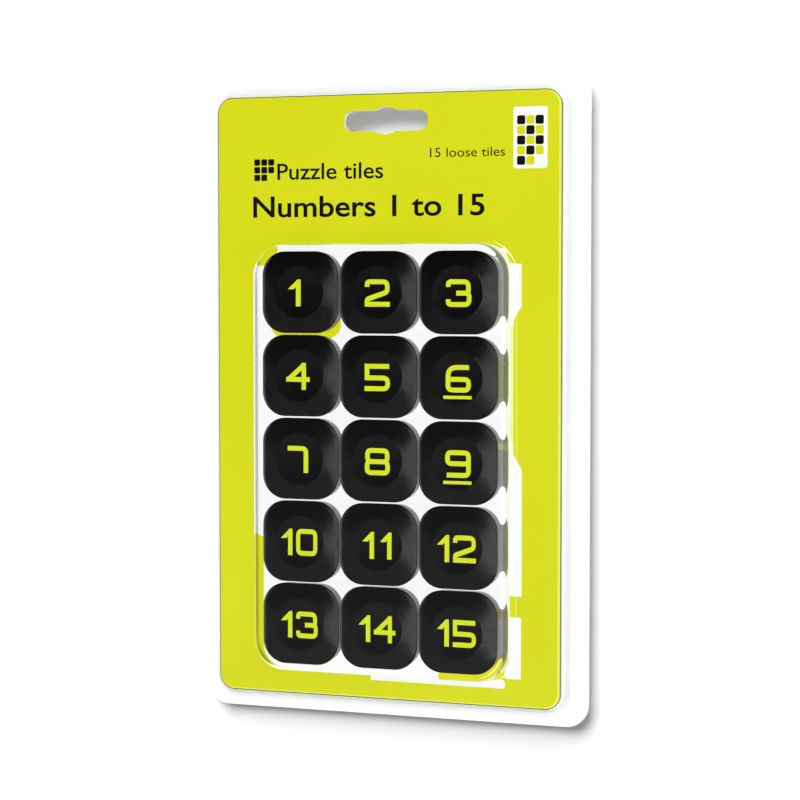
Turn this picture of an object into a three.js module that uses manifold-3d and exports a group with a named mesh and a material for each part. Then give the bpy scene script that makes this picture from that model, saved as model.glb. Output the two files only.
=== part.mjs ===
// Retail pack of fifteen numbered sliding-puzzle tiles, hung on a peg.
//
// A clear front shell carries a raised card pocket and a deeper tile bubble. A white back shell nests in
// the pocket and presses the printed card forward. Each tile is a dished cap on a base with a magnet inside.
//
// Millimetres, +Z up, +X to the right. The front faces -Y. The origin is the middle of the peg slot, on
// the rear plane of the pack.

import * as THREE from 'three';
import { mergeVertices } from 'three/addons/utils/BufferGeometryUtils.js';
import Module from 'manifold-3d';

// ---- Driving dimensions ----

// The tile block, and the peg slot's height above it.
const TILE_COLUMNS = 3;
const TILE_ROWS = 5;
const TILE_PITCH = 20;
const TILE_GAP = 0.4;
const BUBBLE_BELOW_SLOT = 30;

// The card round the tile bubble, from the bubble's inside to the foot of the pocket's wall.
const CARD_MARGIN_SIDE = 13.9;
const CARD_MARGIN_BOTTOM = 8.75;
const POCKET_ABOVE_SLOT = 8;

// The flat weld flange that is left outside the raised pocket.
const FLANGE_SIDE = 3.95;
const FLANGE_TOP = 3.6;
const FLANGE_BOTTOM = 3.05;
const PACK_CORNER_RADIUS = 5.6;

// Sheet thicknesses, and the gap between pieces that touch.
const SHELL_WALL = 0.5;
const CARD_THICKNESS = 0.45;
const CONTACT_GAP = 0.3;

// The raised card pocket of the front shell.
const POCKET_RISE = 4.55;
const POCKET_DRAFT = 0.9;
const POCKET_FOOT_RADIUS = 5.4;
const POCKET_EDGE_ROUND = 0.6;

// The peg slot, with its round bump in the middle.
const SLOT_LENGTH = 21.4;
const SLOT_HEIGHT = 4.95;
const SLOT_BUMP_HEIGHT = 6.5;
const SLOT_BUMP_WIDTH = 5.4;

// One tile.
const TILE_CORNER_RADIUS = 5.8;
const CAP_DEPTH = 1.4;
const CAP_SKIRT_DEPTH = 0.6;
const CAP_LAND_INSET = 2.6;
const DISH_RADIUS = 6.5;
const DISH_DEPTH = 0.45;
const SPIGOT_DEPTH = 1.2;
const BASE_INSET = 0.25;
const BASE_WALL = 2;
const BASE_FLOOR = 0.8;
const BASE_FOOT_CHAMFER = 0.4;
const MAGNET_RADIUS = 3;
const MAGNET_DEPTH = 1;
const MAGNET_RING_WALL = 0.9;
const MAGNET_HEADROOM = 0.6;

// The tile bubble of the front shell.
const BUBBLE_CLEARANCE = 1;
const BUBBLE_SIDE_CLEARANCE = 1.6;
const BUBBLE_CORNER_RADIUS = 7;
const BUBBLE_DRAFT = 0.5;
const BUBBLE_EDGE_ROUND = 0.8;

// How finely round corners are divided.
const CORNER_STEPS = 5;
const TILE_CORNER_STEPS = 4;
const ROUND_STEPS = 3;
const DISH_SIDES = 20;
const MAGNET_SIDES = 16;

// How far a cutting solid runs past the face it opens.
const CUT_OVERRUN = 1;

// ---- Places worked out from the sizes above ----

// Depths of the tile's own layers, in front of its rear face.
const MAGNET_REAR = BASE_FLOOR + CONTACT_GAP;
const SPIGOT_REAR = MAGNET_REAR + MAGNET_DEPTH + MAGNET_HEADROOM;
const BASE_DEPTH = SPIGOT_REAR + SPIGOT_DEPTH;
const CAP_REAR = BASE_DEPTH + CONTACT_GAP;
const CAP_FACE = CAP_REAR + CAP_DEPTH;

// Depths of the pack's layers, in front of its rear plane.
const FRONT_FLANGE_REAR = SHELL_WALL + CONTACT_GAP;
const FRONT_FLANGE_FACE = FRONT_FLANGE_REAR + SHELL_WALL;
const POCKET_FACE = FRONT_FLANGE_FACE + POCKET_RISE;
const CARD_FACE = POCKET_FACE - SHELL_WALL - CONTACT_GAP;
const CARD_REAR = CARD_FACE - CARD_THICKNESS;
const BACK_POCKET_FACE = CARD_REAR - CONTACT_GAP;
const TILE_REAR = CARD_FACE + CONTACT_GAP;
const BUBBLE_INNER_FACE = TILE_REAR + CAP_FACE + CONTACT_GAP;
const BUBBLE_FACE = BUBBLE_INNER_FACE + SHELL_WALL;

const tileHalf = (TILE_PITCH - TILE_GAP) / 2;
const tileRectangle = rectangle(-tileHalf, tileHalf, -tileHalf, tileHalf, TILE_CORNER_RADIUS);
const bubbleHalfWidth = (TILE_COLUMNS * TILE_PITCH - TILE_GAP) / 2 + BUBBLE_SIDE_CLEARANCE;
const bubbleHeight = TILE_ROWS * TILE_PITCH - TILE_GAP + 2 * BUBBLE_CLEARANCE;
const blockMiddle = -BUBBLE_BELOW_SLOT - bubbleHeight / 2;
const bubbleInnerRectangle = rectangle(
  -bubbleHalfWidth,
  bubbleHalfWidth,
  -BUBBLE_BELOW_SLOT - bubbleHeight,
  -BUBBLE_BELOW_SLOT,
  BUBBLE_CORNER_RADIUS,
);
const bubbleSlope = BUBBLE_DRAFT / (BUBBLE_FACE - POCKET_FACE);

const pocketFootRectangle = rectangle(
  bubbleInnerRectangle.left - CARD_MARGIN_SIDE,
  bubbleInnerRectangle.right + CARD_MARGIN_SIDE,
  bubbleInnerRectangle.bottom - CARD_MARGIN_BOTTOM,
  POCKET_ABOVE_SLOT,
  POCKET_FOOT_RADIUS,
);
const pocketSlope = POCKET_DRAFT / POCKET_RISE;
const packRectangle = rectangle(
  pocketFootRectangle.left - FLANGE_SIDE,
  pocketFootRectangle.right + FLANGE_SIDE,
  pocketFootRectangle.bottom - FLANGE_BOTTOM,
  pocketFootRectangle.top + FLANGE_TOP,
  PACK_CORNER_RADIUS,
);

// ---- Outlines ----

function rectangle(left, right, bottom, top, radius) {
  return { left, right, bottom, top, radius };
}

// The same rectangle with every side moved in, or out where the inset is negative.
function insetRectangle(source, inset) {
  return {
    left: source.left + inset,
    right: source.right - inset,
    bottom: source.bottom + inset,
    top: source.top - inset,
    radius: Math.max(source.radius - inset, 0.2),
  };
}

// Points round a rounded rectangle, anticlockwise as seen from the front.
function roundedOutline({ left, right, bottom, top, radius }, steps) {
  const corners = [
    [right - radius, top - radius],
    [left + radius, top - radius],
    [left + radius, bottom + radius],
    [right - radius, bottom + radius],
  ];
  const outline = [];
  corners.forEach(([x, z], corner) => {
    for (let step = 0; step <= steps; step += 1) {
      const angle = (Math.PI / 2) * (corner + step / steps);
      outline.push(new THREE.Vector2(x + radius * Math.cos(angle), z + radius * Math.sin(angle)));
    }
  });
  return outline;
}

// The peg slot: a long slot with round ends, and a shallow arc above and below its middle.
function pegSlotOutline() {
  const endRadius = SLOT_HEIGHT / 2;
  const endCentre = SLOT_LENGTH / 2 - endRadius;
  const bumpRise = (SLOT_BUMP_HEIGHT - SLOT_HEIGHT) / 2;
  const bumpHalf = SLOT_BUMP_WIDTH / 2;
  const bumpRadius = (bumpHalf ** 2 + bumpRise ** 2) / (2 * bumpRise);
  const bumpCentre = endRadius + bumpRise - bumpRadius;
  const bumpAngle = Math.asin(bumpHalf / bumpRadius);
  const quarter = Math.PI / 2;
  const slot = new THREE.Shape();
  slot.absarc(endCentre, 0, endRadius, -quarter, quarter, false);
  slot.absarc(0, bumpCentre, bumpRadius, quarter - bumpAngle, quarter + bumpAngle, false);
  slot.absarc(-endCentre, 0, endRadius, quarter, 3 * quarter, false);
  slot.absarc(0, -bumpCentre, bumpRadius, -quarter - bumpAngle, -quarter + bumpAngle, false);
  return slot.getPoints(CORNER_STEPS);
}

// ---- Solids ----

// A closed solid through sections that run from the rear to the front, each a depth and an outline with
// the same number of points.
function loft(sections) {
  const count = sections[0].outline.length;
  const positions = [];
  const indices = [];
  sections.forEach(({ depth, outline }) => {
    outline.forEach((point) => positions.push(point.x, -depth, point.y));
  });
  for (let section = 0; section + 1 < sections.length; section += 1) {
    for (let point = 0; point < count; point += 1) {
      const next = (point + 1) % count;
      const rear = section * count;
      const front = rear + count;
      indices.push(rear + point, rear + next, front + next);
      indices.push(rear + point, front + next, front + point);
    }
  }
  const last = sections.length - 1;
  THREE.ShapeUtils.triangulateShape(sections[0].outline, []).forEach(([a, b, c]) => {
    indices.push(a, c, b);
  });
  THREE.ShapeUtils.triangulateShape(sections[last].outline, []).forEach(([a, b, c]) => {
    indices.push(last * count + a, last * count + b, last * count + c);
  });
  const geometry = new THREE.BufferGeometry();
  geometry.setAttribute('position', new THREE.Float32BufferAttribute(positions, 3));
  geometry.setIndex(indices);
  return geometry;
}

// A straight plate or cutter between two depths.
function prism(outline, rearDepth, frontDepth) {
  return loft([
    { depth: rearDepth, outline },
    { depth: frontDepth, outline },
  ]);
}

// A drafted block whose front edge is rounded. Its footprint is the rectangle at the rear depth.
function draftedBlock(footprint, slope, rearDepth, frontDepth, edgeRound, steps) {
  const sections = [{ depth: rearDepth, outline: roundedOutline(footprint, steps) }];
  for (let step = 0; step <= ROUND_STEPS; step += 1) {
    const angle = (Math.PI / 2) * (step / ROUND_STEPS);
    const depth = frontDepth - edgeRound * (1 - Math.sin(angle));
    const inset = slope * (depth - rearDepth) + edgeRound * (1 - Math.cos(angle));
    sections.push({ depth, outline: roundedOutline(insetRectangle(footprint, inset), steps) });
  }
  return loft(sections);
}

const wasm = await Module();
wasm.setup();

function toSolid(geometry) {
  const bare = geometry.clone();
  bare.deleteAttribute('normal');
  bare.deleteAttribute('uv');
  const merged = mergeVertices(bare, 1e-4);
  const mesh = new wasm.Mesh({
    numProp: 3,
    vertProperties: Float32Array.from(merged.attributes.position.array),
    triVerts: Uint32Array.from(merged.index.array),
  });
  return new wasm.Manifold(mesh);
}

function toGeometry(solid) {
  const mesh = solid.getMesh();
  const geometry = new THREE.BufferGeometry();
  geometry.setAttribute('position', new THREE.Float32BufferAttribute(mesh.vertProperties, 3));
  geometry.setIndex(new THREE.Uint32BufferAttribute(mesh.triVerts, 1));
  geometry.computeVertexNormals();
  return geometry;
}

// ---- The pack ----

function pegSlotCutter(rearDepth, frontDepth) {
  return toSolid(prism(pegSlotOutline(), rearDepth, frontDepth));
}

// The pocket's outer footprint where its wall crosses a depth.
function pocketFootprintAt(depth) {
  return insetRectangle(pocketFootRectangle, pocketSlope * (depth - FRONT_FLANGE_FACE));
}

function bubbleInnerFootprintAt(depth) {
  return insetRectangle(bubbleInnerRectangle, bubbleSlope * (depth - BUBBLE_INNER_FACE));
}

// The clear front: flange, card pocket and tile bubble formed from one sheet, open at the back.
function frontShell() {
  const flange = toSolid(
    prism(roundedOutline(packRectangle, CORNER_STEPS), FRONT_FLANGE_REAR, FRONT_FLANGE_FACE),
  );
  const midFlange = FRONT_FLANGE_REAR + SHELL_WALL / 2;
  const pocket = toSolid(
    draftedBlock(
      pocketFootprintAt(midFlange), pocketSlope, midFlange, POCKET_FACE, POCKET_EDGE_ROUND, CORNER_STEPS,
    ),
  );
  const midPocketFace = POCKET_FACE - SHELL_WALL / 2;
  const bubble = toSolid(
    draftedBlock(
      insetRectangle(bubbleInnerFootprintAt(midPocketFace), -SHELL_WALL),
      bubbleSlope, midPocketFace, BUBBLE_FACE, BUBBLE_EDGE_ROUND, CORNER_STEPS,
    ),
  );
  const cutRear = FRONT_FLANGE_REAR - CUT_OVERRUN;
  const pocketHollow = toSolid(
    draftedBlock(
      insetRectangle(pocketFootprintAt(cutRear), SHELL_WALL),
      pocketSlope, cutRear, POCKET_FACE - SHELL_WALL, 0, CORNER_STEPS,
    ),
  );
  const bubbleHollow = toSolid(
    draftedBlock(
      bubbleInnerFootprintAt(CARD_FACE), bubbleSlope, CARD_FACE, BUBBLE_INNER_FACE, 0, CORNER_STEPS,
    ),
  );
  return flange
    .add(pocket)
    .add(bubble)
    .subtract(pocketHollow)
    .subtract(bubbleHollow)
    .subtract(pegSlotCutter(CARD_FACE, POCKET_FACE + CUT_OVERRUN));
}

// The white back: the same flange, and a shallower pocket that nests inside the front shell's.
function backShell() {
  const wallInset = SHELL_WALL + CONTACT_GAP;
  const midFlange = SHELL_WALL / 2;
  const flange = toSolid(prism(roundedOutline(packRectangle, CORNER_STEPS), 0, SHELL_WALL));
  const pocket = toSolid(
    draftedBlock(
      insetRectangle(pocketFootprintAt(midFlange), wallInset),
      pocketSlope, midFlange, BACK_POCKET_FACE, POCKET_EDGE_ROUND, CORNER_STEPS,
    ),
  );
  const hollow = toSolid(
    draftedBlock(
      insetRectangle(pocketFootprintAt(-CUT_OVERRUN), wallInset + SHELL_WALL),
      pocketSlope, -CUT_OVERRUN, BACK_POCKET_FACE - SHELL_WALL, 0, CORNER_STEPS,
    ),
  );
  return flange
    .add(pocket)
    .subtract(hollow)
    .subtract(pegSlotCutter(-CUT_OVERRUN, BACK_POCKET_FACE + CUT_OVERRUN));
}

// The printed card, which fills the front shell's pocket behind its face.
function printedCard() {
  const outline = roundedOutline(
    insetRectangle(pocketFootprintAt(CARD_FACE), SHELL_WALL + CONTACT_GAP), CORNER_STEPS,
  );
  return toSolid(prism(outline, CARD_REAR, CARD_FACE))
    .subtract(pegSlotCutter(CARD_REAR - CUT_OVERRUN, CARD_FACE + CUT_OVERRUN));
}

// ---- One tile, with its own origin in the middle of its rear face ----

const baseRectangle = insetRectangle(tileRectangle, BASE_INSET);
const baseHollowRectangle = insetRectangle(baseRectangle, BASE_WALL);

// The base: a moulded cup with a ring that holds the magnet on its floor.
function tileBase() {
  const footRectangle = insetRectangle(baseRectangle, BASE_FOOT_CHAMFER);
  const body = toSolid(
    loft([
      { depth: 0, outline: roundedOutline(footRectangle, TILE_CORNER_STEPS) },
      { depth: BASE_FOOT_CHAMFER, outline: roundedOutline(baseRectangle, TILE_CORNER_STEPS) },
      { depth: BASE_DEPTH, outline: roundedOutline(baseRectangle, TILE_CORNER_STEPS) },
    ]),
  );
  const hollow = toSolid(
    prism(roundedOutline(baseHollowRectangle, TILE_CORNER_STEPS), BASE_FLOOR, BASE_DEPTH + CUT_OVERRUN),
  );
  return body.subtract(hollow).add(magnetRing());
}

// The ring on the base's floor, open at the front.
function magnetRing() {
  const innerRadius = MAGNET_RADIUS + CONTACT_GAP;
  const outerRadius = innerRadius + MAGNET_RING_WALL;
  const rootDepth = BASE_FLOOR / 2;
  const ringTop = BASE_FLOOR + MAGNET_DEPTH;
  const post = toSolid(disc(outerRadius, rootDepth, ringTop));
  const socket = toSolid(disc(innerRadius, BASE_FLOOR, ringTop + CUT_OVERRUN));
  return post.subtract(socket);
}

function disc(radius, rearDepth, frontDepth) {
  const geometry = new THREE.CylinderGeometry(radius, radius, frontDepth - rearDepth, MAGNET_SIDES);
  return geometry.translate(0, -(rearDepth + frontDepth) / 2, 0);
}

// The magnet that the base holds.
function tileMagnet() {
  return toSolid(disc(MAGNET_RADIUS, MAGNET_REAR, MAGNET_REAR + MAGNET_DEPTH));
}

// The cap: a crowned plate with a round finger dish in front and a locating spigot behind.
function tileCap() {
  const crown = CAP_DEPTH - CAP_SKIRT_DEPTH;
  const sections = [{ depth: CAP_REAR, outline: roundedOutline(tileRectangle, TILE_CORNER_STEPS) }];
  for (let step = 0; step <= ROUND_STEPS; step += 1) {
    const angle = (Math.PI / 2) * (step / ROUND_STEPS);
    const inset = CAP_LAND_INSET * (1 - Math.cos(angle));
    sections.push({
      depth: CAP_FACE - crown * (1 - Math.sin(angle)),
      outline: roundedOutline(insetRectangle(tileRectangle, inset), TILE_CORNER_STEPS),
    });
  }
  const spigotOutline = roundedOutline(
    insetRectangle(baseHollowRectangle, CONTACT_GAP), TILE_CORNER_STEPS,
  );
  const spigot = toSolid(prism(spigotOutline, SPIGOT_REAR, CAP_REAR + CAP_SKIRT_DEPTH / 2));
  return toSolid(loft(sections)).add(spigot).subtract(dishCutter());
}

// The dish is a shallow slice of a sphere, turned about the tile's middle.
function dishCutter() {
  const sphereRadius = (DISH_RADIUS ** 2 + DISH_DEPTH ** 2) / (2 * DISH_DEPTH);
  const profile = [];
  for (let step = 0; step <= ROUND_STEPS; step += 1) {
    const radius = (DISH_RADIUS * step) / ROUND_STEPS;
    const sag = sphereRadius - Math.sqrt(sphereRadius ** 2 - radius ** 2);
    profile.push(new THREE.Vector2(radius, sag - DISH_DEPTH));
  }
  profile.push(new THREE.Vector2(DISH_RADIUS, CUT_OVERRUN));
  profile.push(new THREE.Vector2(0, CUT_OVERRUN));
  const geometry = new THREE.LatheGeometry(profile, DISH_SIDES);
  geometry.rotateX(Math.PI / 2);
  geometry.translate(0, -CAP_FACE, 0);
  return toSolid(geometry);
}

// ---- The assembly ----

const clearPlastic = { color: 0xf4f6f6, roughness: 0.08, metalness: 0, transparent: true, opacity: 0.35 };
const whitePlastic = { color: 0xf2f2f3, roughness: 0.35, metalness: 0 };
const printedPaper = { color: 0xd9df2a, roughness: 0.6, metalness: 0 };
const blackPlastic = { color: 0x1c1c1d, roughness: 0.45, metalness: 0 };
const greyPlastic = { color: 0x5a5b5d, roughness: 0.4, metalness: 0 };
const platedSteel = { color: 0xb9bcc0, roughness: 0.3, metalness: 1 };

const pack = new THREE.Group();

function place(parent, name, geometry, finish) {
  const mesh = new THREE.Mesh(geometry, new THREE.MeshStandardMaterial(finish));
  mesh.name = name;
  parent.add(mesh);
}

place(pack, 'front_shell', toGeometry(frontShell()), clearPlastic);
place(pack, 'back_shell', toGeometry(backShell()), whitePlastic);
place(pack, 'printed_card', toGeometry(printedCard()), printedPaper);

const capGeometry = toGeometry(tileCap());
const baseGeometry = toGeometry(tileBase());
const magnetGeometry = toGeometry(tileMagnet());

for (let row = 0; row < TILE_ROWS; row += 1) {
  for (let column = 0; column < TILE_COLUMNS; column += 1) {
    const number = String(row * TILE_COLUMNS + column + 1).padStart(2, '0');
    const tile = new THREE.Group();
    tile.position.set(
      TILE_PITCH * (column - (TILE_COLUMNS - 1) / 2),
      -TILE_REAR,
      blockMiddle + TILE_PITCH * ((TILE_ROWS - 1) / 2 - row),
    );
    place(tile, `tile_${number}_cap`, capGeometry, blackPlastic);
    place(tile, `tile_${number}_base`, baseGeometry, greyPlastic);
    place(tile, `tile_${number}_magnet`, magnetGeometry, platedSteel);
    pack.add(tile);
  }
}

export default pack;
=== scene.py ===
import math

import bmesh
import bpy
from mathutils import Matrix, Vector
from mathutils.geometry import delaunay_2d_cdt


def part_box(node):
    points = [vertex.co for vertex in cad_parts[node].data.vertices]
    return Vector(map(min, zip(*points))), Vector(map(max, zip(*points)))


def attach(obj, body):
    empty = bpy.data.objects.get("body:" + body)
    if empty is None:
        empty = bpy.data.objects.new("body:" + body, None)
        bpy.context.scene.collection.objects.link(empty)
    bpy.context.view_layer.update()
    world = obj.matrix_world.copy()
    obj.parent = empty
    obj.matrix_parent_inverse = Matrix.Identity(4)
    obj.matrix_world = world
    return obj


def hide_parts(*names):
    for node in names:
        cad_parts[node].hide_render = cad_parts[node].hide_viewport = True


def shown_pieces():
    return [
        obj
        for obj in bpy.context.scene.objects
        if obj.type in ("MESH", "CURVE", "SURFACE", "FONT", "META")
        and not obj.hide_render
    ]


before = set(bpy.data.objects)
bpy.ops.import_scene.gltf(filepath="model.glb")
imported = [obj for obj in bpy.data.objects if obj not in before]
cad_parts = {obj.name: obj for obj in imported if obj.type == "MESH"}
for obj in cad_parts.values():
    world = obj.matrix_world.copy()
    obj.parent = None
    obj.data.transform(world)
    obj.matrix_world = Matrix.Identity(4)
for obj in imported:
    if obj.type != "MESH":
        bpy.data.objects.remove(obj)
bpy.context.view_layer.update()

# Hanging pack of fifteen number tiles for a sliding puzzle. Metres; +Z up, +X to the right, and the
# front faces -Y. A depth is how far in front of the pack's rear plane a surface lies.


# ---- White back shell ----
# One sheet of white plastic, half a millimetre thick, vacuum formed over a block. Its flat flange is
# welded to the front shell's, and its shallow pocket presses the card forward.

MM = 0.001
SHEET_THICKNESS = 0.5 * MM
FLANGE_SIDE = 3.95 * MM
FLANGE_TOP = 3.6 * MM
FLANGE_BOTTOM = 3.05 * MM
PACK_CORNER = 5.6 * MM
POCKET_CORNER = 5.4 * MM
POCKET_DRAFT = 0.9 / 4.55
NEST_INSET = 0.8 * MM
CORNER_STEPS = 14
ROUND_STEPS = 6


def inset(rectangle, amount):
    left, right, bottom, top, radius = rectangle
    return (left + amount, right - amount, bottom + amount, top - amount, max(radius - amount, 0.1 * MM))


def rounded_outline(rectangle, steps=CORNER_STEPS):
    """Points round a rounded rectangle, anticlockwise as seen from the front."""
    left, right, bottom, top, radius = rectangle
    centres = [
        (right - radius, top - radius),
        (left + radius, top - radius),
        (left + radius, bottom + radius),
        (right - radius, bottom + radius),
    ]
    outline = []
    for corner, (x, z) in enumerate(centres):
        for step in range(steps + 1):
            angle = math.pi / 2 * (corner + step / steps)
            outline.append((x + radius * math.cos(angle), z + radius * math.sin(angle)))
    return outline


def peg_slot_outline():
    """The slot for the display hook: round ends, and a shallow arc above and below the middle."""
    length, height, bump_height, bump_width = 21.4 * MM, 4.95 * MM, 6.5 * MM, 5.4 * MM
    end_radius = height / 2
    end_centre = length / 2 - end_radius
    rise = (bump_height - height) / 2
    bump_radius = ((bump_width / 2) ** 2 + rise ** 2) / (2 * rise)
    bump_centre = end_radius + rise - bump_radius
    bump_angle = math.asin(bump_width / 2 / bump_radius)
    quarter = math.pi / 2
    arcs = [
        (end_centre, 0, end_radius, -quarter, quarter),
        (0, bump_centre, bump_radius, quarter - bump_angle, quarter + bump_angle),
        (-end_centre, 0, end_radius, quarter, 3 * quarter),
        (0, -bump_centre, bump_radius, -quarter - bump_angle, -quarter + bump_angle),
    ]
    outline = []
    for x, z, radius, start, end in arcs:
        for step in range(13):
            angle = start + (end - start) * step / 12
            outline.append((x + radius * math.cos(angle), z + radius * math.sin(angle)))
    return outline


def wall_profile(low, high, draft, foot_round, edge_round):
    """A formed wall as (inset, depth) steps, from the flat at its foot to the flat on top of it."""
    slant = math.sqrt(1 + draft ** 2)
    lean = math.atan(draft)
    foot_centre = foot_round * (draft - slant)
    edge_centre = draft * (high - edge_round - low) + edge_round * slant
    profile = []
    for step in range(ROUND_STEPS + 1):
        angle = -math.pi / 2 + (math.pi / 2 - lean) * step / ROUND_STEPS
        profile.append((
            foot_centre + foot_round * math.cos(angle),
            low + foot_round + foot_round * math.sin(angle),
        ))
    for step in range(ROUND_STEPS + 1):
        angle = math.pi - lean + (lean - math.pi / 2) * step / ROUND_STEPS
        profile.append((
            edge_centre + edge_round * math.cos(angle),
            high - edge_round + edge_round * math.sin(angle),
        ))
    return profile


def add_loop(sheet, outline, depth):
    return [sheet.verts.new((x, -depth, z)) for x, z in outline]


def join_loops(sheet, outer, inner):
    for index in range(len(outer)):
        after = (index + 1) % len(outer)
        sheet.faces.new((outer[index], outer[after], inner[after], inner[index]))


def add_wall(sheet, foot, profile, start=None):
    """Loops up a wall whose footprint at its low flat is the rectangle foot. Gives the last loop."""
    for amount, depth in profile:
        loop = add_loop(sheet, rounded_outline(inset(foot, amount)), depth)
        if start is not None:
            join_loops(sheet, start, loop)
        start = loop
    return start


def fill_flat(sheet, *loops):
    """A flat face inside the first loop and outside the others."""
    edges = []
    for loop in loops:
        for index, point in enumerate(loop):
            after = loop[(index + 1) % len(loop)]
            edges.append(sheet.edges.get((point, after)) or sheet.edges.new((point, after)))
    made = bmesh.ops.triangle_fill(sheet, use_beauty=True, edges=edges, normal=(0, -1, 0))
    for part in made["geom"]:
        if isinstance(part, bmesh.types.BMFace):
            part.normal_update()
            if part.normal.y > 0:
                part.normal_flip()


def freeze(piece):
    """Turns a piece with its modifiers into a plain mesh."""
    bpy.context.view_layer.update()
    evaluated = piece.evaluated_get(bpy.context.evaluated_depsgraph_get())
    mesh = bpy.data.meshes.new_from_object(evaluated)
    mesh.name = piece.name
    piece.modifiers.clear()
    piece.data = mesh
    return piece


def new_piece(name, mesh_maker, material=None):
    mesh = bpy.data.meshes.new(name)
    mesh_maker.to_mesh(mesh)
    mesh_maker.free()
    piece = bpy.data.objects.new(name, mesh)
    bpy.context.scene.collection.objects.link(piece)
    if material is not None:
        mesh.materials.append(material)
    return piece


def smooth_rounds(piece, sharp_degrees=38):
    """Smooth shading on rounds, flat shading on flats, and crisp cut edges."""
    mesh = piece.data
    mesh.shade_smooth()
    mesh.set_sharp_from_angle(angle=math.radians(sharp_degrees))
    weighted = piece.modifiers.new("Even normals", "WEIGHTED_NORMAL")
    weighted.keep_sharp = True
    weighted.weight = 100
    return freeze(piece)


def thicken(piece, thickness, even=True):
    solid = piece.modifiers.new("Wall", "SOLIDIFY")
    solid.thickness = thickness
    solid.offset = -1
    solid.use_even_offset = even
    solid.use_quality_normals = True
    return freeze(piece)


class Nodes:
    """Adds nodes to one tree and joins them, so that a material reads as a short list."""

    def __init__(self, tree):
        self.tree = tree

    def add(self, kind, settings=None, **values):
        node = self.tree.nodes.new(kind)
        for name, value in (settings or {}).items():
            setattr(node, name, value)
        for name, value in values.items():
            socket = node.inputs[name.replace("_", " ")]
            if isinstance(value, bpy.types.NodeSocket):
                self.tree.links.new(value, socket)
            else:
                socket.default_value = value
        return node

    def mix_colour(self, amount, first, second, blend="MIX"):
        node = self.tree.nodes.new("ShaderNodeMix")
        node.data_type = "RGBA"
        node.blend_type = blend
        for index, value in ((0, amount), (6, first), (7, second)):
            if isinstance(value, bpy.types.NodeSocket):
                self.tree.links.new(value, node.inputs[index])
            else:
                node.inputs[index].default_value = value
        return node.outputs[2]

    def range(self, value, low, high, from_low=0.0, from_high=1.0):
        node = self.add("ShaderNodeMapRange", Value=value)
        node.inputs["From Min"].default_value = from_low
        node.inputs["From Max"].default_value = from_high
        node.inputs["To Min"].default_value = low
        node.inputs["To Max"].default_value = high
        return node.outputs[0]


def new_effect(name, inputs, outputs):
    """An empty shader node group with number inputs and the outputs named."""
    tree = bpy.data.node_groups.new(name, "ShaderNodeTree")
    for label, default in inputs:
        socket = tree.interface.new_socket(name=label, in_out="INPUT", socket_type="NodeSocketFloat")
        socket.default_value = default
    for label, kind in outputs:
        tree.interface.new_socket(name=label, in_out="OUTPUT", socket_type=kind)
    return tree, Nodes(tree)


def forming_marks():
    """Slow thickness waves and fine surface texture that a formed or moulded surface shows."""
    tree, add = new_effect(
        "Forming marks",
        [("Wave size", 60.0), ("Grain size", 4000.0), ("Grain share", 0.2)],
        [("Height", "NodeSocketFloat"), ("Patches", "NodeSocketFloat")],
    )
    given = add.add("NodeGroupInput")
    place = add.add("ShaderNodeTexCoord").outputs["Object"]
    wave = add.add("ShaderNodeTexNoise", Vector=place, Scale=given.outputs["Wave size"], Detail=1.5)
    grain = add.add("ShaderNodeTexNoise", Vector=place, Scale=given.outputs["Grain size"], Detail=2.0)
    share = given.outputs["Grain share"]
    height = add.add("ShaderNodeMix", {"data_type": "FLOAT"})
    tree.links.new(share, height.inputs[0])
    tree.links.new(wave.outputs[0], height.inputs[2])
    tree.links.new(grain.outputs[0], height.inputs[3])
    out = add.add("NodeGroupOutput")
    tree.links.new(height.outputs[0], out.inputs["Height"])
    tree.links.new(wave.outputs[0], out.inputs["Patches"])
    return tree


def handling_marks():
    """Hair-fine rubs in two directions, as a mask."""
    tree, add = new_effect(
        "Handling marks", [("Size", 900.0), ("Amount", 0.5)], [("Mask", "NodeSocketFloat")],
    )
    given = add.add("NodeGroupInput")
    place = add.add("ShaderNodeTexCoord").outputs["Object"]
    masks = []
    for turn in (0.5, 2.2):
        turned = add.add("ShaderNodeMapping", Vector=place)
        turned.inputs["Rotation"].default_value = (0.0, turn, 0.0)
        turned.inputs["Scale"].default_value = (1.0, 1.0, 0.03)
        rubs = add.add(
            "ShaderNodeTexNoise", Vector=turned.outputs[0], Scale=given.outputs["Size"], Detail=2.0,
        )
        masks.append(add.range(rubs.outputs[0], 0.0, 1.0, 0.6, 0.78))
    both = add.add("ShaderNodeMath", {"operation": "MAXIMUM"})
    tree.links.new(masks[0], both.inputs[0])
    tree.links.new(masks[1], both.inputs[1])
    scaled = add.add("ShaderNodeMath", {"operation": "MULTIPLY", "use_clamp": True})
    tree.links.new(both.outputs[0], scaled.inputs[0])
    tree.links.new(given.outputs["Amount"], scaled.inputs[1])
    out = add.add("NodeGroupOutput")
    tree.links.new(scaled.outputs[0], out.inputs["Mask"])
    return tree


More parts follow.
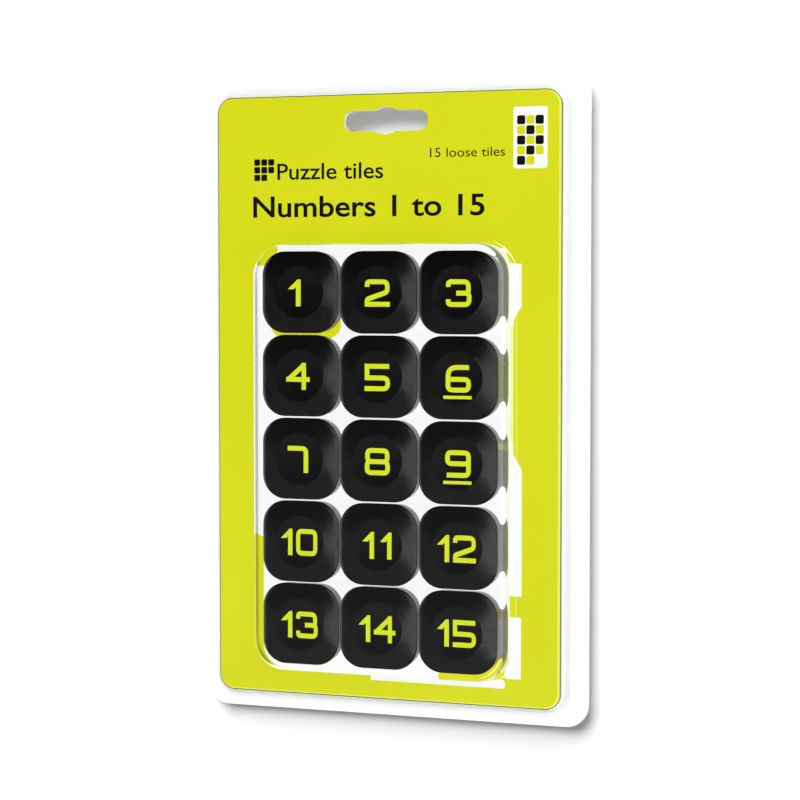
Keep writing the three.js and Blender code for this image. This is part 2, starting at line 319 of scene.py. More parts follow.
def edge_wear():
    """Where a surface turns outwards, broken up by noise, as a mask."""
    tree, add = new_effect(
        "Edge wear", [("Low", 0.52), ("High", 0.6), ("Break up", 600.0)], [("Mask", "NodeSocketFloat")],
    )
    given = add.add("NodeGroupInput")
    place = add.add("ShaderNodeTexCoord").outputs["Object"]
    turn = add.add("ShaderNodeNewGeometry").outputs["Pointiness"]
    edge = add.add("ShaderNodeMapRange", Value=turn)
    tree.links.new(given.outputs["Low"], edge.inputs["From Min"])
    tree.links.new(given.outputs["High"], edge.inputs["From Max"])
    patches = add.add("ShaderNodeTexNoise", Vector=place, Scale=given.outputs["Break up"], Detail=3.0)
    worn = add.add("ShaderNodeMath", {"operation": "MULTIPLY", "use_clamp": True})
    tree.links.new(edge.outputs[0], worn.inputs[0])
    tree.links.new(add.range(patches.outputs[0], 0.2, 1.3, 0.3, 0.7), worn.inputs[1])
    out = add.add("NodeGroupOutput")
    tree.links.new(worn.outputs[0], out.inputs["Mask"])
    return tree


FORMING_MARKS = forming_marks()
HANDLING_MARKS = handling_marks()
EDGE_WEAR = edge_wear()


def new_finish(name, **constants):
    """A material with one Principled shader, whose sockets are set from the names given."""
    material = bpy.data.materials.new(name)
    material.use_nodes = True
    tree = material.node_tree
    tree.nodes.clear()
    add = Nodes(tree)
    shader = add.add("ShaderNodeBsdfPrincipled", **constants)
    out = add.add("ShaderNodeOutputMaterial")
    tree.links.new(shader.outputs[0], out.inputs["Surface"])
    return material, add, shader, out


def place_effect(add, effect, **values):
    node = add.add("ShaderNodeGroup", {"node_tree": effect})
    for name, value in values.items():
        node.inputs[name.replace("_", " ")].default_value = value
    return node


def bump(add, shader, height, strength, distance):
    node = add.add("ShaderNodeBump", Height=height, Strength=strength, Distance=distance)
    add.tree.links.new(node.outputs[0], shader.inputs["Normal"])
    return node


def white_sheet_finish():
    finish, add, shader, _ = new_finish("White sheet plastic", Specular_IOR_Level=0.45)
    marks = place_effect(add, FORMING_MARKS, Wave_size=45.0, Grain_size=2500.0, Grain_share=0.25)
    rubs = place_effect(add, HANDLING_MARKS, Size=500.0, Amount=0.35)
    shade = add.range(marks.outputs["Patches"], 0.0, 1.0, 0.3, 0.7)
    colour = add.mix_colour(shade, (0.80, 0.80, 0.805, 1), (0.83, 0.83, 0.835, 1))
    add.tree.links.new(colour, shader.inputs["Base Color"])
    add.tree.links.new(add.range(rubs.outputs[0], 0.34, 0.5), shader.inputs["Roughness"])
    bump(add, shader, marks.outputs["Height"], 0.25, 0.0002)
    return finish


pack_low, pack_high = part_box("back_shell")
pack_outline = (pack_low.x, pack_high.x, pack_low.z, pack_high.z, PACK_CORNER)
pocket_foot = (
    pack_outline[0] + FLANGE_SIDE,
    pack_outline[1] - FLANGE_SIDE,
    pack_outline[2] + FLANGE_BOTTOM,
    pack_outline[3] - FLANGE_TOP,
    POCKET_CORNER,
)
front_flange_depth = -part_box("front_shell")[1].y + SHEET_THICKNESS
flange_depth = SHEET_THICKNESS
back_pocket_depth = -pack_low.y

back_sheet = bmesh.new()
rim = add_loop(back_sheet, rounded_outline(pack_outline), flange_depth)
back_foot = inset(pocket_foot, NEST_INSET - POCKET_DRAFT * (front_flange_depth - flange_depth))
back_wall = wall_profile(flange_depth, back_pocket_depth, POCKET_DRAFT, 0.3 * MM, 0.8 * MM)
pocket_edge = add_wall(back_sheet, back_foot, back_wall, rim)
slot = add_loop(back_sheet, peg_slot_outline(), back_pocket_depth)
fill_flat(back_sheet, pocket_edge, slot)
back_shell = new_piece("formed_back_shell", back_sheet, white_sheet_finish())
thicken(back_shell, SHEET_THICKNESS)
smooth_rounds(back_shell)
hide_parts("back_shell")
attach(back_shell, "backing")


# ---- Printed card ----
# Coated board just under half a millimetre thick, printed yellow-green all over and die cut with the
# peg slot. It lies loose in the pocket between the two shells.

CARD_CORNER = 3.86 * MM


def card_face_finish():
    finish, add, shader, _ = new_finish(
        "Yellow-green coated card", Specular_IOR_Level=0.08,
    )
    marks = place_effect(add, FORMING_MARKS, Wave_size=35.0, Grain_size=3500.0, Grain_share=0.6)
    colour = add.mix_colour(
        add.range(marks.outputs["Patches"], 0.0, 1.0, 0.3, 0.7),
        (0.68, 0.705, 0.006, 1), (0.71, 0.73, 0.01, 1),
    )
    add.tree.links.new(colour, shader.inputs["Base Color"])
    rubs = place_effect(add, HANDLING_MARKS, Size=700.0, Amount=0.4)
    add.tree.links.new(add.range(rubs.outputs[0], 0.5, 0.62), shader.inputs["Roughness"])
    bump(add, shader, marks.outputs["Height"], 0.12, 0.00005)
    return finish


def card_edge_finish():
    finish, add, shader, _ = new_finish("White card core", Roughness=0.85, Specular_IOR_Level=0.2)
    marks = place_effect(add, FORMING_MARKS, Wave_size=900.0, Grain_size=6000.0, Grain_share=0.5)
    colour = add.mix_colour(marks.outputs["Height"], (0.62, 0.6, 0.5, 1), (0.86, 0.85, 0.78, 1))
    add.tree.links.new(colour, shader.inputs["Base Color"])
    bump(add, shader, marks.outputs["Height"], 0.5, 0.0001)
    return finish


card_low, card_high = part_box("printed_card")
card_depth = -card_low.y
card_outline = (card_low.x, card_high.x, card_low.z, card_high.z, CARD_CORNER)

card_sheet = bmesh.new()
card_rim = add_loop(card_sheet, rounded_outline(card_outline), card_depth)
card_slot = add_loop(card_sheet, peg_slot_outline(), card_depth)
fill_flat(card_sheet, card_rim, card_slot)
card = new_piece("printed_card_board", card_sheet, card_face_finish())
card.data.materials.append(card_edge_finish())
board = card.modifiers.new("Board", "SOLIDIFY")
board.thickness = card_high.y - card_low.y
board.offset = -1
board.material_offset_rim = 1
freeze(card)
smooth_rounds(card)
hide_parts("printed_card")
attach(card, "backing")


# ---- Print on the card, with painted shade and highlights ----
# White and black inks over the yellow-green. White panels lie round and under the tiles. The words are
# plain, and the small panel at the top shows a sliding puzzle with one free cell. The olive lines at the
# card's edge and the bubble's foot are painted shade. The pale yellow bands inside the card's right
# edge and by the bubble's right wall are painted highlights.

FILM_THICKNESS = 0.02 * MM
WHITE_DEPTH = card_depth + 0.02 * MM
BLACK_DEPTH = card_depth + 0.05 * MM


def ink_finish(name, light, dark, roughness):
    finish, add, shader, _ = new_finish(name, Specular_IOR_Level=0.08)
    marks = place_effect(add, FORMING_MARKS, Wave_size=120.0, Grain_size=5000.0, Grain_share=0.7)
    colour = add.mix_colour(marks.outputs["Height"], dark, light)
    add.tree.links.new(colour, shader.inputs["Base Color"])
    add.tree.links.new(
        add.range(marks.outputs["Patches"], roughness - 0.04, roughness + 0.06, 0.3, 0.7),
        shader.inputs["Roughness"],
    )
    bump(add, shader, marks.outputs["Height"], 0.1, 0.00004)
    return finish


WHITE_INK = ink_finish("White print", (0.97, 0.97, 0.975, 1), (0.94, 0.94, 0.95, 1), 0.5)
BLACK_INK = ink_finish("Black print", (0.004, 0.003, 0.002, 1), (0.002, 0.0015, 0.001, 1), 0.5)
CARD_INK = ink_finish("Yellow-green print", (0.71, 0.73, 0.01, 1), (0.68, 0.705, 0.006, 1), 0.5)
# Olive colour for painted shade lines, not a real ink.
SHADE_LINE_INK = ink_finish("Painted olive shade", (0.16, 0.16, 0.02, 1), (0.12, 0.12, 0.015, 1), 0.5)
# Pale yellow for a painted highlight by the bubble's right wall, not a real ink.
WALL_HIGHLIGHT_INK = ink_finish("Painted pale yellow highlight", (0.93, 0.96, 0.45, 1), (0.9, 0.93, 0.4, 1), 0.5)
# Light yellow-green for a painted highlight inside the card's right edge, not a real ink.
HIGHLIGHT_BAND_INK = ink_finish("Painted yellow-green highlight", (0.85, 0.88, 0.2, 1), (0.82, 0.85, 0.17, 1), 0.5)


def lay_print(name, shapes, ink):
    """A thin film on the card, carrying print and also painted shade and painted highlights."""
    piece = new_piece(name, shapes, ink)
    thicken(piece, FILM_THICKNESS, False)
    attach(piece, "backing")


def print_shapes(name, outlines, depth, ink):
    """Flat shapes in one colour, for print and for painted shade and highlights. Each outline is a list of (x,
    z) points, anticlockwise from the front.
    """
    shapes = bmesh.new()
    for outline in outlines:
        shapes.faces.new(add_loop(shapes, outline, depth))
    shapes.normal_update()
    bmesh.ops.triangulate(shapes, faces=shapes.faces[:])
    lay_print(name, shapes, ink)


def box_outline(left, right, bottom, top, radius=0.0):
    """A rectangle in millimetres, with round corners where radius is given."""
    if radius == 0:
        return [(x * MM, z * MM) for x, z in ((right, top), (left, top), (left, bottom), (right, bottom))]
    return rounded_outline(tuple(v * MM for v in (left, right, bottom, top, radius)), 5)


def outline_mm(points):
    return [(x * MM, z * MM) for x, z in points]


def corner_arc(x, z, radius, start):
    """A quarter circle about (x, z) in millimetres, anticlockwise from the given quarter turn."""
    turns = [math.pi / 2 * (start + step / 6) for step in range(7)]
    return [(x + radius * math.cos(turn), z + radius * math.sin(turn)) for turn in turns]


main_panel = corner_arc(29.4, -31.08, 0.6, 0)
main_panel += [(-27.4, -30.48), (-28.3, -32.4), (-30.4, -34.3), (-34.1, -34.6)]
main_panel += corner_arc(-33.3, -99.0, 0.8, 2) + [(-31.4, -100.6)] + corner_arc(-26.2, -127.0, 5.2, 2)
main_panel += [(13.6, -132.2), (15.6, -128.0), (28.0, -126.8), (29.9, -126.2)]
print_shapes(
    "print_white_panels",
    [
        outline_mm(main_panel),
        outline_mm([
            (33.9, -34.1), (29.95, -34.1), (29.95, -48.6), (31.2, -48.6), (31.8, -47.2), (33.9, -44.2),
        ]),
        outline_mm([
            (31.4, -78.4), (31.0, -76.0), (29.95, -76.0), (29.95, -112.3), (34.1, -112.3), (34.1, -82.4),
            (33.4, -81.2),
        ]),
        outline_mm(corner_arc(33.7, -117.6, 0.3, 0) + [(29.9, -117.3)]
                   + corner_arc(30.7, -131.2, 0.8, 2) + [(33.95, -132.0)]),
        outline_mm(corner_arc(29.2, -133.1, 0.8, 0) + [(-3.9, -131.9), (-3.9, -134.3)]
                   + corner_arc(29.4, -133.8, 0.6, 3)),
    ],
    WHITE_DEPTH, WHITE_INK,
)
# Painted highlight: a pale yellow strip under the bubble's right wall, standing for the bright band the clear
# wall shows there.
print_shapes(
    "painted_highlight_bubble_wall", [box_outline(29.95, 31.5, -78.0, -47.4, 0.3)], WHITE_DEPTH, WALL_HIGHLIGHT_INK,
)
print_shapes(
    "print_block_under_first_tile", [box_outline(-29.4, -11.0, -51.9, -33.5, 3.3)],
    WHITE_DEPTH + 0.02 * MM, CARD_INK,
)
# Painted shade: a thin olive line along the top of the bubble's foot, standing for the dark line the clear wall
# shows there.
print_shapes("painted_shade_bubble_foot", [box_outline(-27.2, 29.0, -30.48, -30.41)], WHITE_DEPTH, SHADE_LINE_INK)


def print_border(name, outer, inner, ink):
    """A band of colour between two rounded rectangles, used for painted shade and painted highlights. It follows
    the card's edge.
    """
    border = bmesh.new()
    rims = [add_loop(border, rounded_outline(rectangle), WHITE_DEPTH) for rectangle in (outer, inner)]
    join_loops(border, rims[0], rims[1])
    lay_print(name, border, ink)


# Painted shade: an olive line just inside the card's edge, standing for the dark line where the pocket's edge
# meets the card.
SHADE_LINE_START = 0.02 * MM
SHADE_LINE_END = 0.24 * MM
# Painted highlight: a pale band just inside the olive line, widest at the card's right edge, standing for the
# bright band the pocket's rounded edge shows there.
HIGHLIGHT_START = 0.27 * MM
HIGHLIGHT_END = 0.3 * MM
HIGHLIGHT_END_RIGHT = 0.85 * MM
HIGHLIGHT_END_BOTTOM = 0.5 * MM

highlight_inner = (
    card_low.x + HIGHLIGHT_END, card_high.x - HIGHLIGHT_END_RIGHT,
    card_low.z + HIGHLIGHT_END_BOTTOM, card_high.z - HIGHLIGHT_END, CARD_CORNER - HIGHLIGHT_END_BOTTOM,
)
# Painted highlight along the card's edge.
print_border("painted_highlight_card_edge", inset(card_outline, HIGHLIGHT_START), highlight_inner, HIGHLIGHT_BAND_INK)
# Painted shade along the card's edge.
print_border("painted_shade_card_edge", inset(card_outline, SHADE_LINE_START), inset(card_outline, SHADE_LINE_END), SHADE_LINE_INK)

ICON_LEFT, ICON_TOP, ICON_CELL, ICON_GAP = -34.1, -8.6, 1.55, 0.3
icon_cells = []
for row in range(3):
    for column in range(3):
        if (row, column) != (2, 2):
            left = ICON_LEFT + column * (ICON_CELL + ICON_GAP)
            top = ICON_TOP - row * (ICON_CELL + ICON_GAP)
            icon_cells.append(box_outline(left, left + ICON_CELL, top - ICON_CELL, top, 0.3))
print_shapes("print_tile_mark", icon_cells, BLACK_DEPTH, BLACK_INK)

print_shapes("print_picture_panel", [box_outline(31.8, 40.1, -11.9, 2.4, 0.7)], WHITE_DEPTH, WHITE_INK)
picture_black, picture_green = [], []
for row in range(5):
    for column in range(3):
        if (row, column) == (4, 2):
            continue
        left = 32.7 + column * 2.25
        top = 0.4 - row * 2.35
        cell = box_outline(left, left + 2.0, top - 2.1, top, 0.45)
        (picture_black if (row + column) % 2 == 0 else picture_green).append(cell)
print_shapes("print_picture_dark_tiles", picture_black, BLACK_DEPTH, BLACK_INK)
print_shapes("print_picture_light_tiles", picture_green, BLACK_DEPTH, CARD_INK)


def print_words(name, words, left, baseline, width, capital_height, thicker):
    """A line of plain lettering, fitted to a width and a capital height in millimetres."""
    font = bpy.data.curves.new(name, "FONT")
    font.body = words
    font.size = 1.0
    font.offset = thicker
    font.resolution_u = 4
    lettering = bpy.data.objects.new(name, font)
    bpy.context.scene.collection.objects.link(lettering)
    bpy.context.view_layer.update()
    flat = bpy.data.meshes.new_from_object(
        lettering.evaluated_get(bpy.context.evaluated_depsgraph_get())
    )
    bpy.data.objects.remove(lettering)
    shapes = bmesh.new()
    shapes.from_mesh(flat)
    bmesh.ops.remove_doubles(shapes, verts=shapes.verts[:], dist=1e-5)
    span = max(v.co.x for v in shapes.verts) - min(v.co.x for v in shapes.verts)
    start = min(v.co.x for v in shapes.verts)
    for vertex in shapes.verts:
        x = left * MM + (vertex.co.x - start) * width * MM / span
        z = baseline * MM + vertex.co.y * capital_height * MM / 0.7
        vertex.co = (x, -BLACK_DEPTH, z)
    shapes.normal_update()
    for face in shapes.faces:
        if face.normal.y > 0:
            face.normal_flip()
    lay_print(name, shapes, BLACK_INK)


print_words("print_title", "Numbers 1 to 15", -34.4, -22.6, 59.2, 5.0, 0.014)
print_words("print_small_line", "Puzzle tiles", -28.0, -13.6, 27.4, 3.9, 0.008)
print_words("print_count_line", "15 loose tiles", 11.2, -8.9, 18.6, 2.2, 0.0)


# ---- Tile bases ----
# The rear half of each tile: a moulded dark grey cup, with a ring on its floor that holds a magnet. Its
# sides stand a quarter of a millimetre inside the cap's.

TILE_HALF = 9.8 * MM
TILE_CORNER = 5.8 * MM
BASE_INSET = 0.25 * MM
BASE_FLOOR = 0.8 * MM
BASE_WALL = 2 * MM
AROUND = 72


def rounded_square_reach(half, radius, angle):
    """How far a rounded square reaches from its middle in one direction."""
    across, along = sorted((abs(math.cos(angle)), abs(math.sin(angle))))
    straight = half - radius
    if half * across <= straight * along:
        return half / along
    return straight * (across + along) + math.sqrt(radius ** 2 - straight ** 2 * (along - across) ** 2)


def tile_section(roundness, round_radius, edge_inset, depth):
    """One loop round a tile: a circle at roundness 1, the tile's own rounded square at 0."""
    loop = []
    for index in range(AROUND):
        angle = 2 * math.pi * (index + 0.5) / AROUND
        square = rounded_square_reach(TILE_HALF - edge_inset, TILE_CORNER - edge_inset, angle)
        reach = roundness * round_radius + (1 - roundness) * square
        loop.append((reach * math.cos(angle), -depth, reach * math.sin(angle)))
    return loop


def turned_solid(name, front_depth, sections, rear_depth):
    """A closed solid of loops from the middle of its front, over its sides, to the middle of its rear."""
    solid = bmesh.new()
    loops = [[solid.verts.new(point) for point in section] for section in sections]
    for outer, inner in zip(loops[1:], loops[:-1]):
        join_loops(solid, outer, inner)
    front_middle = solid.verts.new((0, -front_depth, 0))
    rear_middle = solid.verts.new((0, -rear_depth, 0))
    for index in range(AROUND):
        after = (index + 1) % AROUND
        solid.faces.new((loops[0][index], loops[0][after], front_middle))
        solid.faces.new((loops[-1][after], loops[-1][index], rear_middle))
    piece = new_piece(name, solid)
    smooth_rounds(piece, 42)
    return piece


base_low, base_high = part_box("tile_01_base")
tile_rear_depth = -base_high.y
base_depth = base_high.y - base_low.y + 0.15 * MM
ring_depth = BASE_FLOOR + 1.0 * MM

base_sections = [tile_section(1, 3.3 * MM, 0, BASE_FLOOR), tile_section(1, 3.3 * MM, 0, ring_depth)]
base_sections += [tile_section(1, 4.2 * MM, 0, ring_depth), tile_section(1, 4.2 * MM, 0, BASE_FLOOR)]
cup_inset = BASE_INSET + BASE_WALL
base_sections += [tile_section(0, 0, cup_inset + 0.3 * MM, BASE_FLOOR)]
base_sections += [tile_section(0, 0, cup_inset, BASE_FLOOR + 0.3 * MM)]
base_sections += [tile_section(0, 0, cup_inset, base_depth)]
for step in range(5):
    angle = math.pi / 2 * step / 4
    base_sections.append(tile_section(
        0, 0, BASE_INSET + 0.2 * MM * (1 - math.sin(angle)), base_depth - 0.2 * MM * (1 - math.cos(angle)),
    ))
for step in range(5):
    angle = math.pi / 2 * step / 4
    base_sections.append(tile_section(
        0, 0, BASE_INSET + 0.5 * MM * (1 - math.cos(angle)), 0.5 * MM * (1 - math.sin(angle)),
    ))
base_sections.append(tile_section(1, 4 * MM, 0, 0))
master_base = turned_solid("master_base", BASE_FLOOR, base_sections, 0)


def moulded_finish(name, light, dark, rough_low, rough_high, specular, grain_height):
    """Moulded plastic: fine grain, a slow change of tone, light rubs, and slightly polished edges."""
    finish, add, shader, _ = new_finish(name, Specular_IOR_Level=specular)
    marks = place_effect(add, FORMING_MARKS, Wave_size=90.0, Grain_size=5200.0, Grain_share=0.75)
    rubs = place_effect(add, HANDLING_MARKS, Size=1200.0, Amount=0.5)
    wear = place_effect(add, EDGE_WEAR, Low=0.51, High=0.58, Break_up=700.0)
    tone = add.mix_colour(add.range(marks.outputs["Patches"], 0, 1, 0.3, 0.7), dark, light)
    worn = tuple(min(1.0, v * 1.5 + 0.001) for v in light[:3]) + (1,)
    add.tree.links.new(add.mix_colour(wear.outputs[0], tone, worn), shader.inputs["Base Color"])
    rough = add.add("ShaderNodeMath", {"operation": "ADD", "use_clamp": True})
    add.tree.links.new(add.range(marks.outputs["Height"], rough_low, rough_high, 0.3, 0.7), rough.inputs[0])
    add.tree.links.new(add.range(rubs.outputs[0], 0.0, 0.06), rough.inputs[1])
    add.tree.links.new(rough.outputs[0], shader.inputs["Roughness"])
    bump(add, shader, marks.outputs["Height"], 0.35, grain_height)
    return finish


BASE_FINISH = moulded_finish(
    "Dark grey moulded plastic", (0.072, 0.072, 0.074, 1), (0.06, 0.06, 0.062, 1), 0.26, 0.34, 0.5, 0.00004,
)


def placing_tree():
    """Geometry nodes that set one tile part in its cell of the block and give it its finish."""
    tree = bpy.data.node_groups.new("Set in cell", "GeometryNodeTree")
    side = tree.interface
    side.new_socket(name="Geometry", in_out="INPUT", socket_type="NodeSocketGeometry")
    for label in ("Across", "Depth", "Height"):
        side.new_socket(name=label, in_out="INPUT", socket_type="NodeSocketFloat")
    side.new_socket(name="Finish", in_out="INPUT", socket_type="NodeSocketMaterial")
    side.new_socket(name="Geometry", in_out="OUTPUT", socket_type="NodeSocketGeometry")
    nodes, links = tree.nodes, tree.links
    given = nodes.new("NodeGroupInput")
    place = nodes.new("ShaderNodeCombineXYZ")
    cell = nodes.new("GeometryNodePoints")
    put = nodes.new("GeometryNodeInstanceOnPoints")
    real = nodes.new("GeometryNodeRealizeInstances")
    finish = nodes.new("GeometryNodeSetMaterial")
    out = nodes.new("NodeGroupOutput")
    links.new(given.outputs["Across"], place.inputs["X"])
    links.new(given.outputs["Depth"], place.inputs["Y"])
    links.new(given.outputs["Height"], place.inputs["Z"])
    links.new(place.outputs[0], cell.inputs["Position"])
    links.new(cell.outputs[0], put.inputs["Points"])
    links.new(given.outputs["Geometry"], put.inputs["Instance"])
    links.new(put.outputs[0], real.inputs[0])
    links.new(real.outputs[0], finish.inputs["Geometry"])
    links.new(given.outputs["Finish"], finish.inputs["Material"])
    links.new(finish.outputs[0], out.inputs[0])
    return tree


SET_IN_CELL = placing_tree()


def tile_middle(number):
    low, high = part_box(f"tile_{number:02d}_cap")
    return (low.x + high.x) / 2, (low.z + high.z) / 2


def set_in_cell(master, name, number, finish, replaced=None):
    """A copy of a master part, set in one tile's cell as a plain mesh on that tile's body."""
    piece = bpy.data.objects.new(name, master.data.copy())
    bpy.context.scene.collection.objects.link(piece)
    placed = piece.modifiers.new("Set in cell", "NODES")
    placed.node_group = SET_IN_CELL
    x, z = tile_middle(number)
    values = {"Across": x, "Depth": -tile_rear_depth, "Height": z, "Finish": finish}
    for item in SET_IN_CELL.interface.items_tree:
        if item.in_out == "INPUT" and item.name in values:
            placed[item.identifier] = values[item.name]
    freeze(piece)
    if replaced:
        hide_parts(replaced)
    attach(piece, f"tile_{number:02d}")
    return piece


for number in range(1, 16):
    set_in_cell(
        master_base, f"tile_{number:02d}_moulded_base", number, BASE_FINISH,
        f"tile_{number:02d}_base",
    )
bpy.data.objects.remove(master_base)


# ---- Tile magnets ----
# A small nickel-plated disc magnet in each base's ring, with ground and slightly broken edges.


def magnet_finish():
    finish, add, shader, _ = new_finish("Nickel plating", Metallic=1.0)
    marks = place_effect(add, FORMING_MARKS, Wave_size=300.0, Grain_size=4000.0, Grain_share=0.6)
    rubs = place_effect(add, HANDLING_MARKS, Size=1500.0, Amount=0.8)
    colour = add.mix_colour(marks.outputs["Height"], (0.62, 0.6, 0.56, 1), (0.75, 0.73, 0.69, 1))
    add.tree.links.new(colour, shader.inputs["Base Color"])
    add.tree.links.new(add.range(rubs.outputs[0], 0.18, 0.4), shader.inputs["Roughness"])
    bump(add, shader, marks.outputs["Height"], 0.2, 0.00003)
    return finish


magnet_low, magnet_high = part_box("tile_01_magnet")
magnet_radius = (magnet_high.x - magnet_low.x) / 2
magnet_front = -magnet_low.y - tile_rear_depth
magnet_rear = -magnet_high.y - tile_rear_depth
BROKEN_EDGE = 0.12 * MM
magnet_sections = [
    tile_section(1, magnet_radius - BROKEN_EDGE, 0, magnet_front),
    tile_section(1, magnet_radius - BROKEN_EDGE * 0.3, 0, magnet_front - BROKEN_EDGE * 0.3),
    tile_section(1, magnet_radius, 0, magnet_front - BROKEN_EDGE),
    tile_section(1, magnet_radius, 0, magnet_rear + BROKEN_EDGE),
    tile_section(1, magnet_radius - BROKEN_EDGE * 0.3, 0, magnet_rear + BROKEN_EDGE * 0.3),
    tile_section(1, magnet_radius - BROKEN_EDGE, 0, magnet_rear),
]
master_magnet = turned_solid("master_magnet", magnet_front, magnet_sections, magnet_rear)
NICKEL = magnet_finish()
for number in range(1, 16):
    set_in_cell(
        master_magnet, f"tile_{number:02d}_disc_magnet", number, NICKEL,
        f"tile_{number:02d}_magnet",
    )
bpy.data.objects.remove(master_magnet)


# ---- Tile caps ----
# The front half of each tile: a satin black moulding with a crowned top, a round dish for the finger
# and a short skirt. A spigot behind it locates in the base's cup.

DISH_RADIUS = 6.2 * MM
DISH_DROP = 0.36 * MM
RIM_ROUND = 0.22 * MM
LAND_INSET = 0.8 * MM
LAND_DROP = 0.6 * MM
SHOULDER_DROP = 1.0 * MM
CAP_DEPTH = 1.4 * MM
SPIGOT_INSET = 2.9 * MM

cap_low, cap_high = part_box("tile_01_cap")
cap_face = -cap_low.y - tile_rear_depth
spigot_rear = -cap_high.y - tile_rear_depth
cap_rear = cap_face - CAP_DEPTH
dish_sphere = (DISH_RADIUS ** 2 + DISH_DROP ** 2) / (2 * DISH_DROP)


def dish_depth(reach):
    """Depth of the dish's floor at a distance from the tile's middle."""
    return cap_face - DISH_DROP + dish_sphere - math.sqrt(dish_sphere ** 2 - reach ** 2)


cap_sections = [tile_section(1, DISH_RADIUS * step / 8, 0, dish_depth(DISH_RADIUS * step / 8))
                for step in range(1, 9)]
for step in range(1, 4):
    share = step / 3
    cap_sections.append(tile_section(
        1, DISH_RADIUS + RIM_ROUND * share, 0, cap_face + 0.01 * MM - 0.03 * MM * share ** 2,
    ))
for step in range(1, 7):
    share = step / 6
    cap_sections.append(tile_section(
        1 - share, DISH_RADIUS + RIM_ROUND, LAND_INSET,
        cap_face - 0.02 * MM - LAND_DROP * (0.9 * share + 0.1 * share ** 2),
    ))
land_edge = cap_face - 0.02 * MM - LAND_DROP
for step in range(1, 8):
    angle = math.pi / 2 * step / 7
    cap_sections.append(tile_section(
        0, 0, LAND_INSET * (1 - math.sin(angle)),
        land_edge - (SHOULDER_DROP - LAND_DROP) * (1 + math.sin(angle) - math.cos(angle)) / 2,
    ))
cap_sections += [
    tile_section(0, 0, 0, cap_rear + 0.12 * MM),
    tile_section(0, 0, 0.12 * MM, cap_rear),
    tile_section(0, 0, SPIGOT_INSET, cap_rear),
    tile_section(0, 0, SPIGOT_INSET, spigot_rear + 0.1 * MM),
    tile_section(0, 0, SPIGOT_INSET + 0.1 * MM, spigot_rear),
    tile_section(1, 3 * MM, 0, spigot_rear),
]
master_cap = turned_solid("master_cap", dish_depth(0), cap_sections, spigot_rear)
CAP_FINISH = moulded_finish(
    "Satin black moulded plastic", (0.0034, 0.0034, 0.0036, 1), (0.0022, 0.0022, 0.0024, 1), 0.18, 0.22, 0.5,
    0.00003,
)
for number in range(1, 16):
    set_in_cell(
        master_cap, f"tile_{number:02d}_moulded_cap", number, CAP_FINISH,
        f"tile_{number:02d}_cap",
    )
bpy.data.objects.remove(master_cap)


# ---- Numbers on the caps ----
# Yellow-green ink printed in each dish, in plain square figures of one stroke width. 6 and 9 are
# underlined, so that neither is read the wrong way up.

STROKE = 1.15
FIGURE_HEIGHT = 6.45
FIGURE_INK_RISE = 0.03 * MM


def stroke_path(points, rounds=0.0, closed=False):
    """A line's points in millimetres, with its corners rounded."""
    if not isinstance(rounds, (list, tuple)):
        rounds = [rounds] * len(points)
    path = []
    for index, (point, radius) in enumerate(zip(points, rounds)):
        ends = not closed and index in (0, len(points) - 1)
        here = Vector(point)
        if ends or radius == 0:
            path.append(here)
            continue
        before = (Vector(points[index - 1]) - here).normalized() * radius
        after = (Vector(points[(index + 1) % len(points)]) - here).normalized() * radius
        for step in range(6):
            t = step / 5
            path.append(here + before * (1 - t) ** 2 + after * t ** 2)
    return path


def stroke_outline(path, closed=False, width=STROKE):
    """The two sides of a stroke along a path, mitred at its corners, as polygons."""
    count = len(path)
    sides = []
    for index, here in enumerate(path):
        before = path[index - 1] if closed or index > 0 else None
        after = path[(index + 1) % count] if closed or index < count - 1 else None
        arrive = (here - before).normalized() if before is not None else (after - here).normalized()
        leave = (after - here).normalized() if after is not None else arrive
        across = Vector((-arrive.y - leave.y, arrive.x + leave.x)).normalized()
        reach = width / 2 / max(0.35, across.dot(Vector((-leave.y, leave.x))))
        sides.append((here + across * reach, here - across * reach))
    pairs = list(zip(sides, sides[1:] + sides[:1])) if closed else list(zip(sides, sides[1:]))
    return [[a[0], a[1], b[1], b[0]] for a, b in pairs]


half_high = (FIGURE_HEIGHT - STROKE) / 2
top_edge = FIGURE_HEIGHT / 2


def ring_strokes(left, right, bottom, top, radius):
    corners = [(right, bottom), (right, top), (left, top), (left, bottom)]
    return stroke_outline(stroke_path(corners, radius, True), True)


def open_strokes(points, rounds):
    return stroke_outline(stroke_path(points, rounds))


